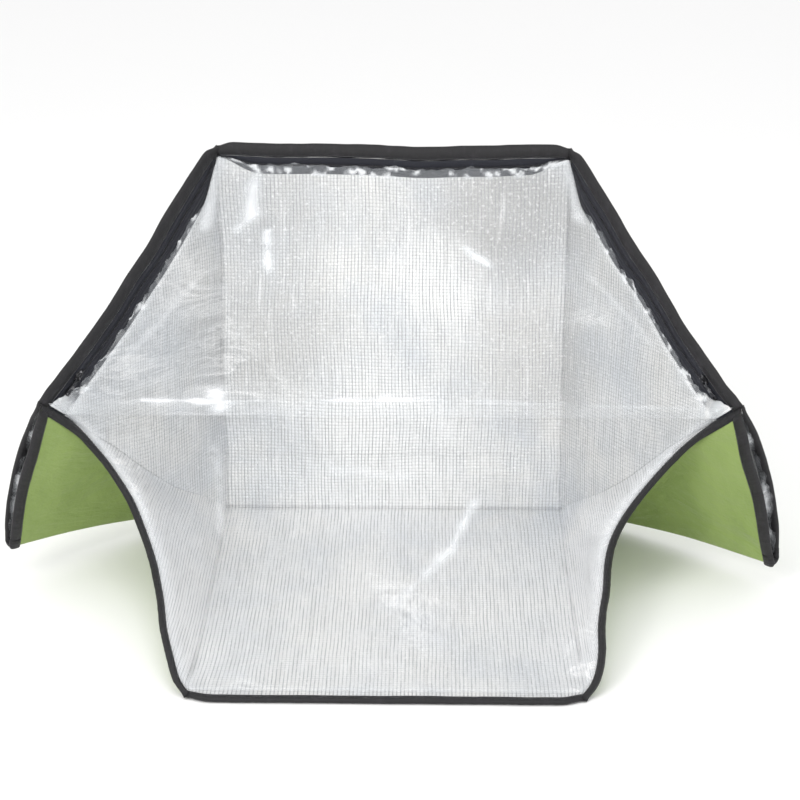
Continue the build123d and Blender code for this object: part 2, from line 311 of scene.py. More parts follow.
def clothUv(panel, a, b, side=1):
    # The flat pattern's own metres, so that the weave runs on across the creases
    if panel == "floor":
        return (a, -b)
    if panel == "back":
        return (a, b)
    if panel == "wing":
        return (side * (width + b), a)
    return (side * (width + b), -a)


# The ear is a pleat: one sheet folded round its lower side, with its lining face to face
pleat = dict(
    foldInset=0.005, turn=0.16, spread=(0.0080, 0.0115), spreadFrom=0.40, spreadTo=0.97,
    root=0.045, deepest=0.0044, wave=0.0011, waveScale=11,
)
earEdge = Vector(earTip) - Vector((tipLength, 0))
earEdgeLength = earEdge.length
earFold = Vector(earTip).normalized()
foldAway = Vector((-earFold.y, earFold.x))
wingMitre = (wingOut + earOut) / (1 + wingOut.dot(earOut)) - earOut
wallMitre = (wallOut - earOut) / (1 - wallOut.dot(earOut)) + earOut


def earSpread(flat, side):
    # How far the two halves stand apart, most along the open edge
    fold = abs(flat.x * earFold.y - flat.y * earFold.x)
    reach = clamp(flat.length / tipLength)
    width = smooth(flat.y, 0.0, 0.07) * smooth(fold, -0.01, 0.05)
    gap = pleat["spread"][0 if side < 0 else 1]
    return gap * smooth(reach, pleat["spreadFrom"], pleat["spreadTo"]) * (0.25 + 0.75 * width)


def earFace(a, b, t, half, side):
    # A point of one half of the pleat: half is 1 on the rear face and -1 on the front face
    flat = Vector((a, b))
    near = smooth(pleat["root"] - b, 0.0, pleat["root"])
    turned = min(t, pleat["deepest"])
    lift = t + (earSpread(flat, side) if b > 0 else 0.0)
    out = earOut * (half * lift)
    out = out + (wingMitre if half > 0 else wallMitre) * (turned * near)
    spot = Vector((a * pleat["waveScale"], b * pleat["waveScale"], side * 2.3 + half))
    wave = pleat["wave"] * noise.noise(spot)
    wave *= smooth(b, 0.0, 0.03)
    point = rear + tipRay * a + earRay * b + out + earOut * wave
    return soften(mirrored(point, side))


def earWrap(w, v, t, side):
    # Across the cloth from the front pinch, round the fold, to the rear pinch
    inset = min(pleat["foldInset"], 0.35 * v * earTip[1])
    foldPoint = Vector(earTip) * v - foldAway * inset
    pinchPoint = Vector((tipLength * v, 0))
    turn = pleat["turn"]
    if abs(w) >= turn:
        k = (abs(w) - turn) / (1 - turn)
        flat = between(foldPoint, pinchPoint, k)
        return earFace(flat.x, flat.y, t, 1 if w > 0 else -1, side)
    angle = w / turn * pi / 2
    rim = foldPoint + foldAway * (cos(angle) * min(t, inset + 0.0006))
    lift = t + earSpread(foldPoint, side)
    point = rear + tipRay * rim.x + earRay * rim.y + earOut * (sin(angle) * lift)
    return soften(mirrored(point, side))


made = {}


def placeMesh(name, mesh, material):
    mesh.materials.append(material)
    mesh.polygons.foreach_set("use_smooth", [True] * len(mesh.polygons))
    piece = bpy.data.objects.new(name, mesh)
    bpy.context.scene.collection.objects.link(piece)
    made[name] = piece
    return piece


def finishMesh(name, work, material):
    bmesh.ops.remove_doubles(work, verts=work.verts, dist=2e-6)
    bmesh.ops.recalc_face_normals(work, faces=work.faces)
    mesh = bpy.data.meshes.new(name)
    work.to_mesh(mesh)
    work.free()
    return placeMesh(name, mesh, material)


def layerMesh(name, at, uvAt, columns, rows, low, high, material, mark=None):
    # A closed layer of cloth between two depths, laid out as a grid of columns and rows
    work = bmesh.new()
    uvs = work.loops.layers.uv.new("flat")
    marks = work.verts.layers.float.new("mark") if mark else None
    grid = {}
    flat = {}
    for face, depth in enumerate((low, high)):
        for j in range(rows + 1):
            for i in range(columns + 1):
                u = i / columns
                v = j / rows
                vert = work.verts.new(at(u, v, depth))
                if mark:
                    vert[marks] = mark(u, v)
                grid[face, i, j] = vert
                flat[vert] = uvAt(u, v)

    def add(*corners):
        points = [grid[c] for c in corners]
        patch = work.faces.new(points)
        for loop in patch.loops:
            loop[uvs].uv = flat[loop.vert]

    for face in range(2):
        for j in range(rows):
            for i in range(columns):
                loop = [(face, i, j), (face, i + 1, j), (face, i + 1, j + 1), (face, i, j + 1)]
                add(*(loop if face else loop[::-1]))
    for i in range(columns):
        add((0, i, 0), (0, i + 1, 0), (1, i + 1, 0), (1, i, 0))
        add((1, i, rows), (1, i + 1, rows), (0, i + 1, rows), (0, i, rows))
    for j in range(rows):
        add((1, 0, j), (1, 0, j + 1), (0, 0, j + 1), (0, 0, j))
        add((0, columns, j), (0, columns, j + 1), (1, columns, j + 1), (1, columns, j))
    return finishMesh(name, work, material)


def stripMesh(name, at, profile, steps, length, material):
    # A folded tape: one closed cross-section, carried along an edge
    work = bmesh.new()
    uvs = work.loops.layers.uv.new("flat")
    around = [0.0]
    for here, there in zip(profile, profile[1:] + profile[:1]):
        around.append(around[-1] + hypot(there[0] - here[0], there[1] - here[1]))
    rings = []
    for i in range(steps + 1):
        s = i / steps
        rings.append([work.verts.new(at(q, s, t)) for q, t in profile])
    count = len(profile)
    for i in range(steps):
        for j in range(count):
            k = (j + 1) % count
            patch = work.faces.new([rings[i][j], rings[i][k], rings[i + 1][k], rings[i + 1][j]])
            places = [(i, j), (i, j + 1), (i + 1, j + 1), (i + 1, j)]
            for loop, (row, column) in zip(patch.loops, places):
                loop[uvs].uv = (row / steps * length, around[column])
    work.faces.new(rings[0])
    work.faces.new(rings[-1][::-1])
    return finishMesh(name, work, material)


def copiesAlong(name, template, spots, material):
    # One modelled shape, repeated with its own mesh at each spot
    points = []
    faces = []
    corners = [v.co.copy() for v in template.data.vertices]
    loops = [tuple(p.vertices) for p in template.data.polygons]
    for spot in spots:
        first = len(points)
        points += [spot @ corner for corner in corners]
        faces += [tuple(first + i for i in loop) for loop in loops]
    mesh = bpy.data.meshes.new(name)
    mesh.from_pydata(points, [], faces)
    return placeMesh(name, mesh, material)


def fit(piece, body, slot, node=None):
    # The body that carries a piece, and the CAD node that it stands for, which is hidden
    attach(piece, body)
    if node:
        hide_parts(node)
    return piece


def spotOn(at, q, s, t, step=0.002):
    # A frame that stands on a strip: X along it, Z away from the panel towards the sun
    here = at(q, s, t)
    along = (at(q, s + step, t) - at(q, s - step, t)).normalized()
    up = at(q, s, t - 0.001) - here
    up = (up - along * up.dot(along)).normalized()
    turn = Matrix((along, up.cross(along), up)).transposed().to_4x4()
    return Matrix.Translation(here) @ turn


# Shader sums are written as plain expressions
class Wire:
    def __init__(self, finish, socket):
        self.finish = finish
        self.socket = socket

    def math(self, operation, first, second=0.5):
        return self.finish.add("Math", dict(operation=operation), {0: first, 1: second})

    def __add__(self, other):
        return self.math("ADD", self, other)

    def __radd__(self, other):
        return self.math("ADD", other, self)

    def __sub__(self, other):
        return self.math("SUBTRACT", self, other)

    def __rsub__(self, other):
        return self.math("SUBTRACT", other, self)

    def __mul__(self, other):
        return self.math("MULTIPLY", self, other)

    def __rmul__(self, other):
        return self.math("MULTIPLY", other, self)

    def __pow__(self, other):
        return self.math("POWER", self, other)

    def wave(self, period):
        return self.math("ABSOLUTE", self.math("SINE", self * (pi / period)))

    def limited(self):
        return self.finish.add("Clamp", {}, {0: self})

    def stepped(self, low, high):
        sockets = {0: self, 1: low, 2: high, 3: 0.0, 4: 1.0}
        return self.finish.add("MapRange", dict(interpolation_type="SMOOTHSTEP"), sockets)


class Finish:
    def __init__(self, name, **fixed):
        self.material = bpy.data.materials.new(name)
        self.material.use_nodes = True
        self.nodes = self.material.node_tree.nodes
        self.links = self.material.node_tree.links
        self.nodes.clear()
        self.shader = self.nodes.new("ShaderNodeBsdfPrincipled")
        output = self.nodes.new("ShaderNodeOutputMaterial")
        self.links.new(self.shader.outputs[0], output.inputs[0])
        for name, value in fixed.items():
            self.shader.inputs[name.replace("_", " ")].default_value = value

    def add(self, kind, settings, sockets, out=0):
        node = self.nodes.new("ShaderNode" + kind)
        for name, value in settings.items():
            if name == "stops":
                for spot, (place, colour) in enumerate(value):
                    stops = node.color_ramp.elements
                    stop = stops[spot] if spot < len(stops) else stops.new(place)
                    stop.position = place
                    stop.color = (*colour, 1)
            else:
                setattr(node, name, value)
        for name, value in sockets.items():
            self.plug(node.inputs[name], value)
        return Wire(self, node.outputs[out])

    def plug(self, socket, value):
        if isinstance(value, Wire):
            self.links.new(value.socket, socket)
        else:
            socket.default_value = value

    def paint(self, **sockets):
        for name, value in sockets.items():
            self.plug(self.shader.inputs[name.replace("_", " ")], value)
        return self.material

    def flat(self):
        return self.add("UVMap", dict(uv_map="flat"), {})

    def solid(self):
        return self.add("TexCoord", {}, {}, out="Object")

    def split(self, vector):
        parts = self.add("SeparateXYZ", {}, {0: vector})
        node = parts.socket.node
        return [Wire(self, output) for output in node.outputs]

    def noise(self, vector, scale, detail=3.0, rough=0.5, twist=0.0):
        sockets = {"Vector": vector, "Scale": scale, "Detail": detail, "Roughness": rough}
        sockets["Distortion"] = twist
        return self.add("TexNoise", {}, sockets)

    def stretched(self, vector, scale):
        return self.add("Mapping", {}, {"Vector": vector, "Scale": scale})

    def grain(self, vector, stretch, detail=3.0, rough=0.5, twist=0.0):
        return self.noise(self.stretched(vector, stretch), 1.0, detail, rough, twist)

    def mix(self, factor, first, second):
        sockets = {0: factor, 6: first, 7: second}
        return self.add("Mix", dict(data_type="RGBA"), sockets, out=2)

    def bump(self, height, distance, strength=1.0, under=None):
        sockets = {"Height": height, "Distance": distance, "Strength": strength}
        if under:
            sockets["Normal"] = under
        return self.add("Bump", {}, sockets)


def grey(value, tint=(1, 1, 1)):
    return (value * tint[0], value * tint[1], value * tint[2], 1)


# Silver lining: a laminated grid of threads under bright foil, with painted shade and painted reflected
# light laid on it as dark and bright spots at fixed places
def foilFinish(s=dict(
    cell=0.0046, bright=0.80, line=0.33, metal=0.55, crinkle=0.0011,
    # Painted shade: dark spots at fixed places on the flat pattern: centre, reach, strength
    paintedShade=(
        ((0.155, 0.42), 0.15, 0.80), ((-0.18, 0.25), 0.16, 0.50), ((-0.17, 0.43), 0.13, 0.48),
        ((0.20, 0.22), 0.13, 0.42), ((0.0, 0.45), 0.16, 0.20),
    ),
    # Painted reflected light: bright spots at fixed places on the flat pattern: centre, reach, strength
    paintedLight=(
        ((0.055, 0.33), 0.09, 0.45), ((-0.02, 0.06), 0.20, 0.60), ((0.33, 0.16), 0.07, 0.18),
        ((0.31, -0.22), 0.26, 0.60), ((-0.31, -0.26), 0.24, 0.35), ((0.0, -0.3), 0.30, 0.25),
        ((0.28, -0.38), 0.16, 0.60), ((-0.28, -0.38), 0.16, 0.60),
    ),
)):
    f = Finish("silver_lining", IOR=1.5, Coat_Roughness=0.12)
    flat = f.flat()
    x, y, z = f.split(flat)
    warp = f.noise(flat, 9.0, 2.0)
    across = (x + warp * 0.004).wave(s["cell"])
    down = (y + warp * 0.004).wave(s["cell"])
    pillow = (across ** 0.55) * (down ** 0.55)
    uneven = f.noise(flat, 30.0, 4.0, 0.65)
    broken = f.grain(flat, (150.0, 22.0, 1.0), 3.0)
    streaks = f.grain(flat, (120.0, 9.0, 1.0), 3.0, 0.6)
    gaps = (1 - across.stepped(0.0, 0.75)) * (uneven * 0.9 + broken.stepped(0.35, 0.65) * 0.75)
    rows = (1 - down.stepped(0.0, 0.60)) * (1.0 - uneven * 1.2)
    thread = (gaps + rows).limited()
    patches = f.noise(flat, 6.5, 4.0, 0.6)
    paintedSparkle = f.noise(flat, 210.0, 2.0, 0.7)
    creased = f.noise(flat, 34.0, 5.0, 0.62, 0.8)
    tone = f.mix(patches.stepped(0.32, 0.70), grey(s["bright"], (1.0, 0.99, 0.965)),
                 grey(s["bright"] * 0.84, (0.95, 0.985, 1.03)))
    # Painted shade (dark spots) and painted reflected light (bright spots) are mixed into the lining's
    # colour
    for places, shade in ((s["paintedShade"], grey(0.36, (1.0, 0.99, 0.97))), (s["paintedLight"], grey(0.98))):
        for (placeX, placeY), reach, amount in places:
            away = f.add("VectorMath", dict(operation="DISTANCE"), {0: flat, 1: (placeX, placeY, 0)}, out=1)
            near = (1 - (away + (patches - 0.5) * 0.06).stepped(reach * 0.25, reach)) * amount
            tone = f.mix(near, tone, shade)
    tone = f.mix(streaks.stepped(0.50, 0.75) * 0.40, tone, grey(0.55, (1.0, 1.0, 0.98)))
    tone = f.mix((1 - streaks.stepped(0.26, 0.46)) * 0.45, tone, grey(0.97))
    tone = f.mix(thread * 0.9, tone, grey(s["line"], (0.97, 0.99, 1.03)))
    # Painted sparkle: small bright specks of reflected light
    tone = f.mix(paintedSparkle.stepped(0.54, 0.72) * 0.5, tone, grey(0.97))
    rough = 0.20 + patches * 0.16 + thread * 0.22 + paintedSparkle * 0.10
    under = f.bump(creased + f.noise(flat, 90.0, 3.0) * 0.35, s["crinkle"], 0.75)
    weave = f.bump(pillow + paintedSparkle * 0.25, 0.00042, 0.95, under)
    return f.paint(Base_Color=tone, Roughness=rough, Metallic=s["metal"] - thread * 0.25, Normal=weave,
                   Coat_Weight=0.18)


def greenFinish(s=dict(thread=0.0011, leaf=(0.300, 0.400, 0.118, 1), shade=(0.245, 0.338, 0.094, 1))):
    f = Finish("green_cloth_finish", Sheen_Weight=0.25, Sheen_Roughness=0.45, Specular_IOR_Level=0.35)
    flat = f.flat()
    x, y, z = f.split(flat)
    over = x.wave(s["thread"])
    under = y.wave(s["thread"])
    twill = (x + y).wave(s["thread"] * 2)
    weave = (over * 0.5 + under * 0.5) * (0.6 + twill * 0.4)
    mottle = f.noise(flat, 14.0, 5.0, 0.6)
    slub = f.grain(flat, (40.0, 900.0, 1.0), 2.0)
    tone = f.mix(mottle.stepped(0.3, 0.72), s["leaf"], s["shade"])
    tone = f.mix((1 - weave) * 0.28, tone, (0.06, 0.11, 0.02, 1))
    tone = f.mix(slub.stepped(0.55, 0.8) * 0.22, tone, (0.38, 0.50, 0.19, 1))
    crease = f.grain(flat, (15.0, 6.0, 1.0), 5.0, 0.55, 1.2)
    folds = f.bump(crease + f.noise(flat, 48.0, 4.0, 0.6) * 0.22, 0.0110, 0.75)
    normal = f.bump(weave, 0.00025, 0.8, folds)
    return f.paint(Base_Color=tone, Roughness=0.58 + mottle * 0.2, Normal=normal)


def bindingFinish(s=dict(rib=0.0016, dark=(0.0060, 0.0057, 0.0068, 1), worn=(0.034, 0.030, 0.037, 1))):
    f = Finish("charcoal_binding_finish", Sheen_Weight=0.05, Sheen_Roughness=0.35, Specular_IOR_Level=0.34)
    flat = f.flat()
    x, y, z = f.split(flat)
    rib = x.wave(s["rib"])
    cross = y.wave(s["rib"] * 0.6)
    pucker = f.grain(flat, (160.0, 26.0, 1.0), 3.0)
    wear = f.noise(flat, 55.0, 5.0, 0.65)
    tone = f.mix(wear.stepped(0.5, 0.78) * 0.7, s["dark"], s["worn"])
    tone = f.mix(rib * cross * 0.18, tone, (0.075, 0.072, 0.08, 1))
    folds = f.bump(pucker, 0.0011, 0.6)
    normal = f.bump(rib * (0.4 + cross * 0.6), 0.0003, 0.8, folds)
    return f.paint(Base_Color=tone, Roughness=0.34 + wear * 0.25, Normal=normal)


def tapeFinish(s=dict(rib=0.0013, dark=(0.006, 0.0065, 0.011, 1), light=(0.022, 0.024, 0.036, 1))):
    f = Finish("navy_zip_finish", Sheen_Weight=0.12, Sheen_Roughness=0.3, Specular_IOR_Level=0.35)
    flat = f.flat()
    x, y, z = f.split(flat)
    zigzag = y.wave(0.005) * 0.0025
    rib = (x + zigzag).wave(s["rib"])
    wear = f.noise(flat, 80.0, 4.0, 0.6)
    tone = f.mix(rib * 0.6, s["dark"], s["light"])
    tone = f.mix(wear.stepped(0.55, 0.8) * 0.4, tone, (0.05, 0.053, 0.07, 1))
    normal = f.bump(rib, 0.0003, 0.9)
    return f.paint(Base_Color=tone, Roughness=0.5 + wear * 0.2, Normal=normal)


def coilFinish():
    f = Finish("zip_coil_finish", Specular_IOR_Level=0.6)
    spot = f.solid()
    wear = f.noise(spot, 300.0, 3.0)
    tone = f.mix(wear.stepped(0.45, 0.75), (0.012, 0.012, 0.016, 1), (0.05, 0.05, 0.06, 1))
    normal = f.bump(f.noise(spot, 900.0, 2.0), 0.00015, 0.4)
    return f.paint(Base_Color=tone, Roughness=0.28 + wear * 0.2, Normal=normal)


def threadFinish():
    f = Finish("stitch_thread", Sheen_Weight=0.4)
    x, y, z = f.split(f.solid())
    twist = (x + y + z).wave(0.0009)
    tone = f.mix(twist, (0.02, 0.02, 0.024, 1), (0.085, 0.085, 0.095, 1))
    normal = f.bump(twist, 0.0001, 0.7)
    return f.paint(Base_Color=tone, Roughness=0.5 + twist * 0.1, Normal=normal)


def waddingFinish():
    f = Finish("wadding_fleece", Sheen_Weight=0.5)
    spot = f.solid()
    tufts = f.noise(spot, 260.0, 5.0, 0.7)
    tone = f.mix(tufts, (0.62, 0.62, 0.6, 1), (0.86, 0.86, 0.83, 1))
    normal = f.bump(tufts, 0.0008, 0.7)
    return f.paint(Base_Color=tone, Roughness=0.85 + tufts * 0.1, Normal=normal)


# Clear film: nearly unseen where it is flat; painted white highlights and glints, from noise streaks and
# the mark attribute, make it milky white along its creases, rims and specks
def filmFinish(s=dict(clear=0.05, milky=0.80)):
    f = Finish("clear_film_finish", IOR=1.48, Specular_IOR_Level=0.9, Coat_Roughness=0.03)
    flat = f.flat()
    mark = f.add("Attribute", dict(attribute_name="mark"), {}, out="Fac")
    broad = f.noise(flat, 5.0, 3.0, 0.5, 0.6)
    fold = f.grain(flat, (9.0, 16.0, 1.0), 6.0, 0.62, 1.6)
    ridge = 1 - (fold - 0.5).math("ABSOLUTE", fold - 0.5) * 9.0
    ridge = ridge.limited() ** 3.0
    fine = f.grain(flat, (60.0, 60.0, 1.0), 4.0, 0.7, 1.2)
    # Painted highlights: glints and streaks make the film whiter and less clear where they fall
    glint = fine.stepped(0.58, 0.72)
    streaks = ridge * broad.stepped(0.48, 0.72)
    edge = mark * (0.25 + mark * 0.40 + glint * 0.45)
    alpha = s["clear"] + streaks * 0.16 + edge * s["milky"]
    tone = f.mix(streaks + mark * 0.5, (0.82, 0.86, 0.9, 1), (1.0, 1.0, 1.0, 1))
    wrinkled = f.bump(fold, 0.004, 0.5)
    normal = f.bump(fine, 0.0012, 0.6, wrinkled)
    return f.paint(Base_Color=tone, Roughness=0.06 + fine * 0.12, Alpha=alpha.limited(), Normal=normal)


def metalFinish():
    f = Finish("slider_metal_finish", Metallic=0.85, Specular_IOR_Level=0.6)
    spot = f.solid()
    x, y, z = f.split(spot)
    brushed = f.grain(spot, (900.0, 220.0, 220.0), 4.0, 0.6)
    worn = f.noise(spot, 160.0, 4.0, 0.65).stepped(0.52, 0.7)
    tone = f.mix(worn * 0.8, (0.055, 0.055, 0.06, 1), (0.42, 0.42, 0.43, 1))
    normal = f.bump(brushed, 0.0001, 0.6)
    return f.paint(Base_Color=tone, Roughness=0.24 + brushed * 0.2, Normal=normal)


foil = foilFinish()
green = greenFinish()
charcoal = bindingFinish()
navy = tapeFinish()
coilDark = coilFinish()
thread = threadFinish()
fleece = waddingFinish()
film = filmFinish()
metal = metalFinish()
print("finishes are ready")


# Where each free edge lies on its panel: a distance in from the edge, and a share along it
def crossing(start, along, other):
    reach = (start.x * other.y - start.y * other.x) / (along.x * other.y - along.y * other.x)
    return start - along * reach


def straightEdge(start, end, startFold, endFold, q, s):
    along = (end - start).normalized()
    inward = Vector((-along.y, along.x))
    if inward.dot(-start) < 0:
        inward = -inward
    base = start + inward * q
    first = crossing(base, along, startFold)
    last = crossing(base, along, endFold)
    return between(first, last, s)


wingTop = Vector((sheet["height"], 0))
wingEdgeLength = (wingTop - pinchFlat).length
pinchAlong = pinchFlat.normalized()
lipSteps = 60
lipPoints = [lipAt(i / lipSteps) for i in range(lipSteps + 1)]
lipLength = sum((there - here).length for here, there in zip(lipPoints, lipPoints[1:]))
zipInset = dict(binding=0.0121, corner=0.055, least=0.12, topEnd=0.012)


def tucked(q, distance):
    # Near a top corner the zip turns in under the binding
    if q <= zipInset["binding"]:
        return q
    share = zipInset["least"] + (1 - zipInset["least"]) * smooth(distance, 0.0, zipInset["corner"])
    return zipInset["binding"] + (q - zipInset["binding"]) * share


def wingFlat(q, s):
    q = tucked(q, s * wingEdgeLength + zipInset["topEnd"])
    return straightEdge(wingTop, pinchFlat, Vector((1, 0)), pinchFlat, q, s)


def earFlat(q, s):
    return straightEdge(Vector((tipLength, 0)), Vector(earTip), Vector((1, 0)), Vector(earTip), q, s)


# The lip's strips end square at the floor's crease, and stay clear of the pinch
lipTrim = dict(step=0.004, square=0.12, offPinch=0.0004)


def lipFlat(q, s):
    here = lipAt(s)
    along = (lipAt(s + lipTrim["step"]) - lipAt(s - lipTrim["step"])).normalized()
    inward = Vector((along.y, -along.x))
    if inward.dot(here) > 0:
        inward = -inward
    flat = here + inward * q
    square = lipTrim["square"]
    if s < square:
        first = lipAt(0)
        firstAlong = (lipAt(lipTrim["step"]) - first).normalized()
        shift = -(first + inward * q).y / firstAlong.y
        flat = flat + along * (shift * (1 - s / square))
    inside = flat.x * pinchAlong.y - flat.y * pinchAlong.x
    if inside < lipTrim["offPinch"]:
        flat = flat + Vector((pinchAlong.y, -pinchAlong.x)) * (lipTrim["offPinch"] - inside)
    flat.y = max(flat.y, 0.0)
    return flat


def topFlat(q, s):
    q = tucked(q, min(s, 1 - s) * 2 * width)
    return Vector((between(-width, width, s), sheet["height"] - q))


def frontFlat(q, s):
    return Vector((between(-width, width, s), sheet["depth"] - q))


def onEdge(panel, flatAt, side, q, s, t):
    flat = flatAt(q, s)
    return place(panel, flat.x, flat.y, t, side)


onWing = partial(onEdge, "wing", wingFlat)
onLip = partial(onEdge, "wall", lipFlat)
onTop = partial(onEdge, "back", topFlat, 1)
onFront = partial(onEdge, "floor", frontFlat, 1)


def onEar(side, half, q, s, t):
    flat = earFlat(q, s)
    return earFace(flat.x, flat.y, t, half, side)


# The panels: lining, wadding and cloth, each a layer of its own
layers = dict(
    lining=dict(low=0.0, high=0.00036, columns=84, rows=84),
    wadding=dict(low=0.0004, high=0.00436, columns=44, rows=44),
    cloth=dict(low=0.0044, high=0.005, columns=70, rows=70),
)
slots = dict(lining=("foil_liner", foil), wadding=("padding", fleece), cloth=("green_cloth", green))
nodes = dict(lining="liner", wadding="foam", cloth="shell")
wallArea = 0.0514
floorThin = dict(share=0.19, start=0.018, end=0.009)
flatSizes = dict(
    floor=((2 * width, sheet["depth"]), None), back=((2 * width, sheet["height"]), None),
    wing=((sheet["height"], sheet["reach"]), 0.5 * sheet["height"] * sheet["reach"]),
    wall=((sheet["depth"], sheet["reach"]), wallArea),
)


def middleFlat(length, u, v):
    return Vector((between(-width, width, u), v * length))


def wingFan(u, v):
    return wingFlat(0, u) * v


def wallFan(u, v):
    return lipFlat(0, u) * v


panelFlats = dict(
    floor=partial(middleFlat, sheet["depth"]), back=partial(middleFlat, sheet["height"]),
    wing=wingFan, wall=wallFan,
)


def panelLayer(panel, layer, body, side=1):
    spec = layers[layer]
    flatAt = panelFlats[panel]

    def at(u, v, depth):
        flat = flatAt(u, v)
        if panel == "floor":
            # The floor thins out under its front binding
            edge = smooth(flat.y, sheet["depth"] - floorThin["start"], sheet["depth"] - floorThin["end"])
            depth = depth * (1 - floorThin["share"] * edge)
        return place(panel, flat.x, flat.y, depth, side)

    def uvAt(u, v):
        flat = flatAt(u, v)
        return clothUv(panel, flat.x, flat.y, side)

    piece = layerMesh(f"{body}_{layer}", at, uvAt, spec["columns"], spec["rows"],
                      spec["low"], spec["high"], slots[layer][1])
    fit(piece, body, slots[layer][0], f"{body}_{nodes[layer]}")
    flatSize, area = flatSizes[panel]


for layer in layers:
    panelLayer("floor", layer, "floor")
    panelLayer("back", layer, "back")
    for side, hand in ((1, "right"), (-1, "left")):
        panelLayer("wing", layer, f"{hand}_wing", side)
        panelLayer("wall", layer, f"{hand}_wall", side)
print("panels are made")

# A strip of cloth inside the rear crease, which shows when the back folds forward
spine = dict(
    reach=0.014, inset=0.004, low=0.0036, high=0.0043, columns=60, rows=16,
    start=(0, -0.008, 0.002), end=(0, 0.003, 0.012),
)


def spineSpot(u, v):
    along = (2 * v - 1) * spine["reach"]
    a = between(-width, width, between(spine["inset"], 1 - spine["inset"], u))
    return ("back" if along > 0 else "floor", a, abs(along))


def spinePoint(u, v, depth):
    panel, a, b = spineSpot(u, v)
    return place(panel, a, b, depth)


def spineUv(u, v):
    panel, a, b = spineSpot(u, v)
    return clothUv(panel, a, b)


piece = layerMesh("rear_crease_cloth", spinePoint, spineUv, spine["columns"], spine["rows"],
                  spine["low"], spine["high"], green)
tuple(spine["start"])
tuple(spine["end"])
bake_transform(piece)

# The ears
earLayers = dict(
    lining=dict(low=0.0, high=0.00036, columns=40, rows=40),
    wadding=dict(low=0.0004, high=0.00436, columns=34, rows=34),
    cloth=dict(low=0.0044, high=0.005, columns=64, rows=56),
)
earNodes = dict(lining="lining", wadding="foam", cloth="shell")
for side, hand in ((1, "right"), (-1, "left")):
    for layer, spec in earLayers.items():
        def at(u, v, depth, side=side):
            return earWrap(2 * u - 1, v, depth, side)

        def uvAt(u, v, side=side):
            return (side * (2 * u - 1) * earTip[1] * v, v * tipLength)

        piece = layerMesh(f"{hand}_ear_{'inner_lining' if layer == 'lining' else layer}", at, uvAt,
                          spec["columns"], spec["rows"], spec["low"], spec["high"], slots[layer][1])
        fit(piece, f"{hand}_ear", slots[layer][0], f"{hand}_ear_{earNodes[layer]}")
print("ears are made")

# Bindings: a soft tape folded over each raw edge
bindings = dict(
    puff=0.0014, wrap=0.0015, sewn=0.0003, step=0.0045, gap=0.00002, rim=-0.0004,
    stitch=0.0042, stitchIn=0.0016, stitchOut=0.74, frontStitch=-0.0009,
    widths=dict(top=0.012, wing=0.012, front=0.0086, wall=0.0068, ear=0.012),
)
fat = dict(puff=0.0022, wrap=0.0048)
frontShape = dict(thick=0.0041, puff=0.0012, outer=0.00075)
earShape = dict(low=0.0006, puff=0.0018, wrap=0.0032)
pucker = dict(
    ends=0.012, endWrap=0.55, wrapEnds=0.020, leastWrap=0.0010,
    lift=0.00035, liftScale=(150, 200), sway=0.0005, swayScale=45, underSewn=0.4,
)
earTurn = dict(reach=1.25, steps=18, length=0.030, shape=dict(low=0.0006, puff=0.0020, wrap=0.0034))


def bindingProfile(wide, thick, low=0.0, puff=bindings["puff"], wrap=bindings["wrap"], outer=None):
    sewn = bindings["sewn"]
    gap = bindings["gap"]
    outer = puff if outer is None else outer
    middleDepth = (thick + low) / 2
    return [
        (wide, low - sewn), (wide * 0.8, low - puff * 0.8), (wide * 0.45, low - puff),
        (wide * 0.15, low - puff * 0.85), (-wrap * 0.35, low - puff * 0.3),
        (-wrap * 0.9, middleDepth * 0.55), (-wrap, middleDepth),
        (-wrap * 0.9, thick - (thick - middleDepth) * 0.55),
        (-wrap * 0.35, thick + outer * 0.3), (wide * 0.15, thick + outer * 0.85),
        (wide * 0.45, thick + outer), (wide * 0.8, thick + outer * 0.8), (wide, thick + min(sewn, outer)),
        (wide, thick + gap), (wide * 0.5, thick + gap), (0.0, thick),
        (bindings["rim"], middleDepth), (0.0, low), (wide * 0.5, low - gap), (wide, low - gap),
    ]


def bindingPiece(name, body, at, length, profile, node):
    def puckered(q, s, t):
        toEnd = min(s, 1 - s) * length
        calm = smooth(toEnd, 0.0, pucker["ends"])
        if q < 0:
            kept = between(pucker["endWrap"], 1, smooth(toEnd, 0.0, pucker["wrapEnds"]))
            q = -max(-q * kept, min(-q, pucker["leastWrap"]))
        liftAlong, liftAcross = pucker["liftScale"]
        along = s * length
        lift = calm * pucker["lift"] * noise.noise(Vector((along * liftAlong, q * liftAcross, len(name))))
        sway = calm * pucker["sway"] * noise.noise(Vector((along * pucker["swayScale"], 3.3, len(name))))
        share = 1 if t < profile[3][1] * 0.3 or t > 0.004 else pucker["underSewn"]
        return at(q + sway, s, t + lift * share * (1 if t > 0.0025 else -1))

    steps = max(12, round(length / bindings["step"]))
    piece = fit(stripMesh(name, puckered, profile, steps, length, charcoal), body, "charcoal_binding", node)


def roundedBar(length, radius, turn, axis, inset, push):
    # A short bar whose ends are drawn in and pushed out
    bpy.ops.object.select_all(action="DESELECT")
    bpy.ops.mesh.primitive_cylinder_add(vertices=6, radius=radius, depth=length, rotation=turn)
    piece = bpy.context.object
    bpy.ops.object.transform_apply(rotation=True)
    bpy.ops.object.mode_set(mode="EDIT")
    bpy.ops.mesh.select_mode(type="FACE")
    bpy.ops.mesh.select_all(action="DESELECT")
    work = bmesh.from_edit_mesh(piece.data)
    for face in work.faces:
        face.select_set(abs(face.normal[axis]) > 0.9)
    bmesh.update_edit_mesh(piece.data)
    bpy.ops.mesh.inset(thickness=inset, depth=push)
    bpy.ops.object.mode_set(mode="OBJECT")
    return piece


